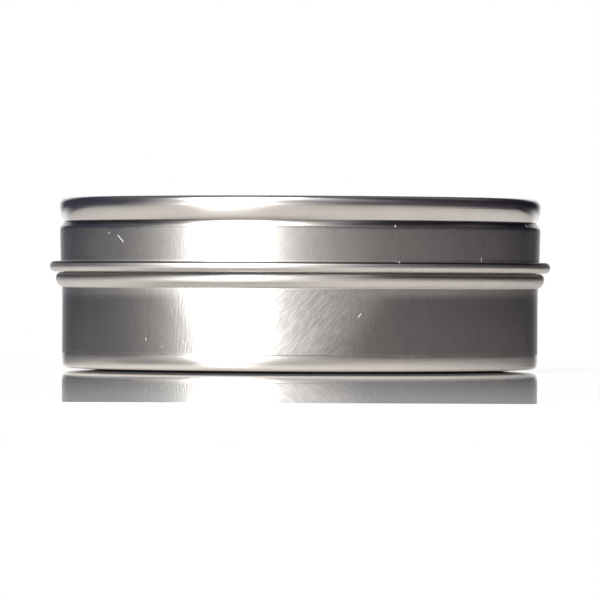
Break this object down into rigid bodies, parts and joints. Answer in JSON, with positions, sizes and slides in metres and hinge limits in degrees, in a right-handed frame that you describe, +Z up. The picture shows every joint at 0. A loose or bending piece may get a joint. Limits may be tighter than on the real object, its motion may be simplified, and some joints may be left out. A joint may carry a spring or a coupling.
{
  "type": "round tin",
  "caption": "Shallow round metal tin: a drawn cup with a stop bead and rolled rim, and a slip-on lid with a rolled hem and a clear window.",
  "frame": {"origin": "centre of the tin on the surface it stands on", "axes": "+Z up along the tin's axis, the way the lid lifts off; the tin is the same all round"},
  "size_m": [0.0736, 0.0736, 0.0253],
  "materials": {
    "base_tinplate": "bright tinned steel with fine rolling grain",
    "lid_tinplate": "bright tinned steel with fine rolling grain",
    "window_plastic": "clear glossy plastic"
  },
  "bodies": {
    "base": {"base_cup": "base_tinplate"},
    "lid": {"lid_shell": "lid_tinplate", "lid_window": "window_plastic"}
  },
  "joints": [
    {"name": "lid_lift", "type": "slide", "parent": "base", "child": "lid", "axis": [0, 0, 1], "range_m": [0, 0.03]}
  ]
}
